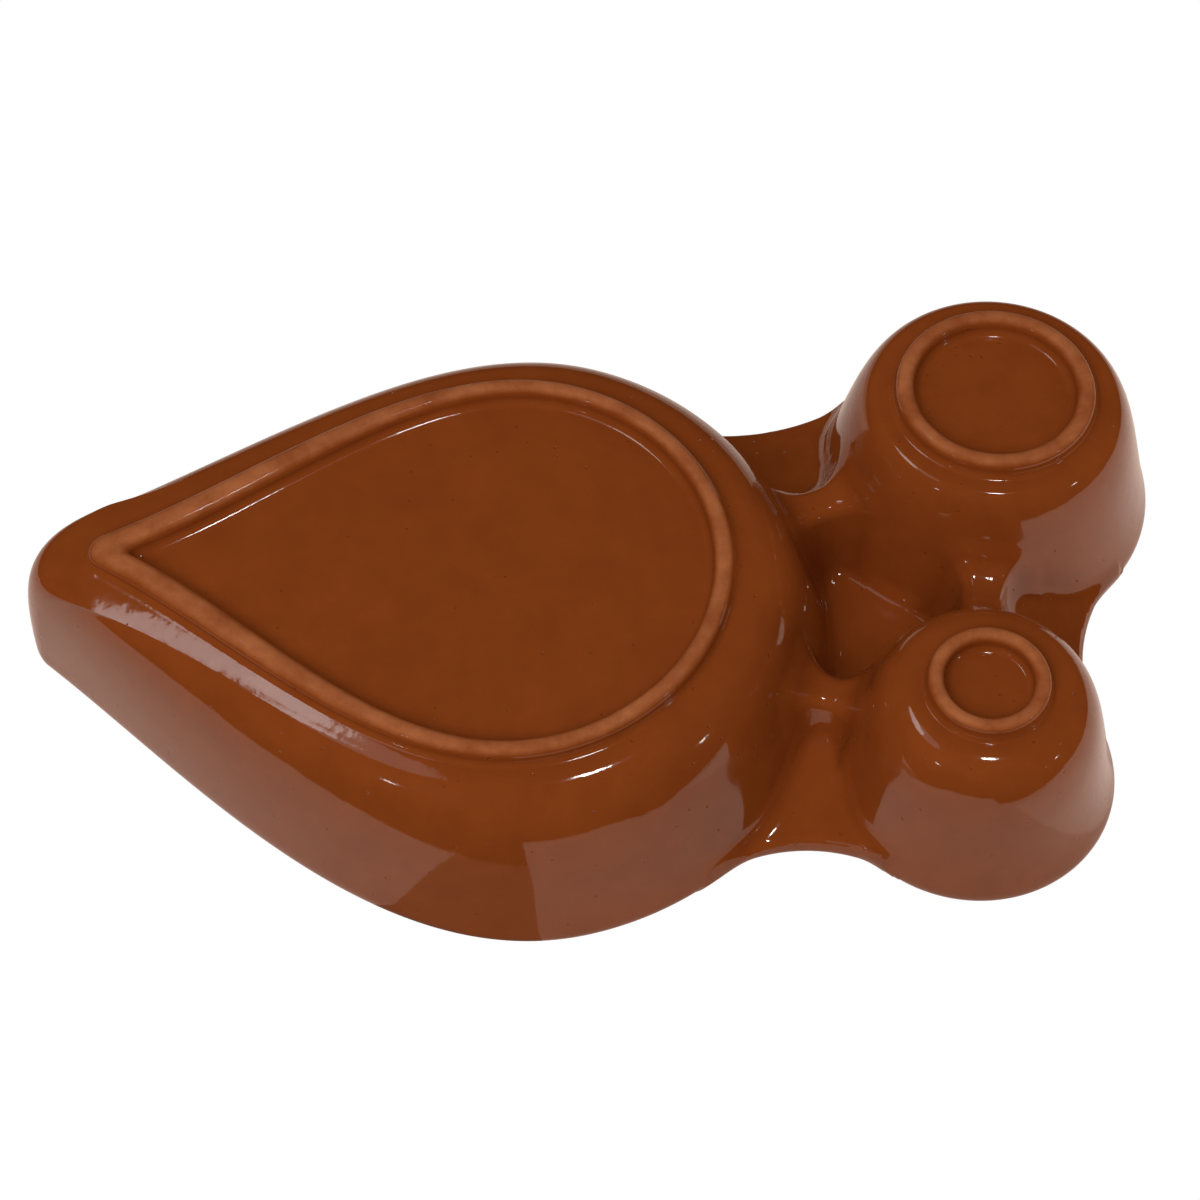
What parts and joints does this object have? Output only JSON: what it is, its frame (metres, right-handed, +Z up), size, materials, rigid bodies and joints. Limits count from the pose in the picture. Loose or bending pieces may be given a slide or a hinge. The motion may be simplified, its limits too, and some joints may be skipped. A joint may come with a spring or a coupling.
{
  "type": "olive dish",
  "caption": "Teardrop olive bowl joined to a round pit cup and a smaller round pick cup by a flat rim web and low ribs, with each vessel standing on its own foot ring.",
  "frame": {"origin": "middle of the footprint box, on the surface that the foot rings stand on", "axes": "+Z up out of the vessels, +X along the bowl's axis from its tip towards the two cups"},
  "size_m": [0.2567, 0.1607, 0.043],
  "materials": {
    "honey_glaze": "glossy transparent honey glaze over terracotta",
    "bare_terracotta": "matte wiped terracotta"
  },
  "bodies": {
    "root": {"olive_bowl": "honey_glaze", "olive_bowl_foot": "bare_terracotta", "pit_cup": "honey_glaze", "pit_cup_foot": "bare_terracotta", "pick_cup": "honey_glaze", "pick_cup_foot": "bare_terracotta", "rim_web": "honey_glaze", "bowl_to_pit_cup_rib": "honey_glaze", "bowl_to_pick_cup_rib": "honey_glaze", "pit_cup_to_pick_cup_rib": "honey_glaze"}
  },
  "joints": []
}
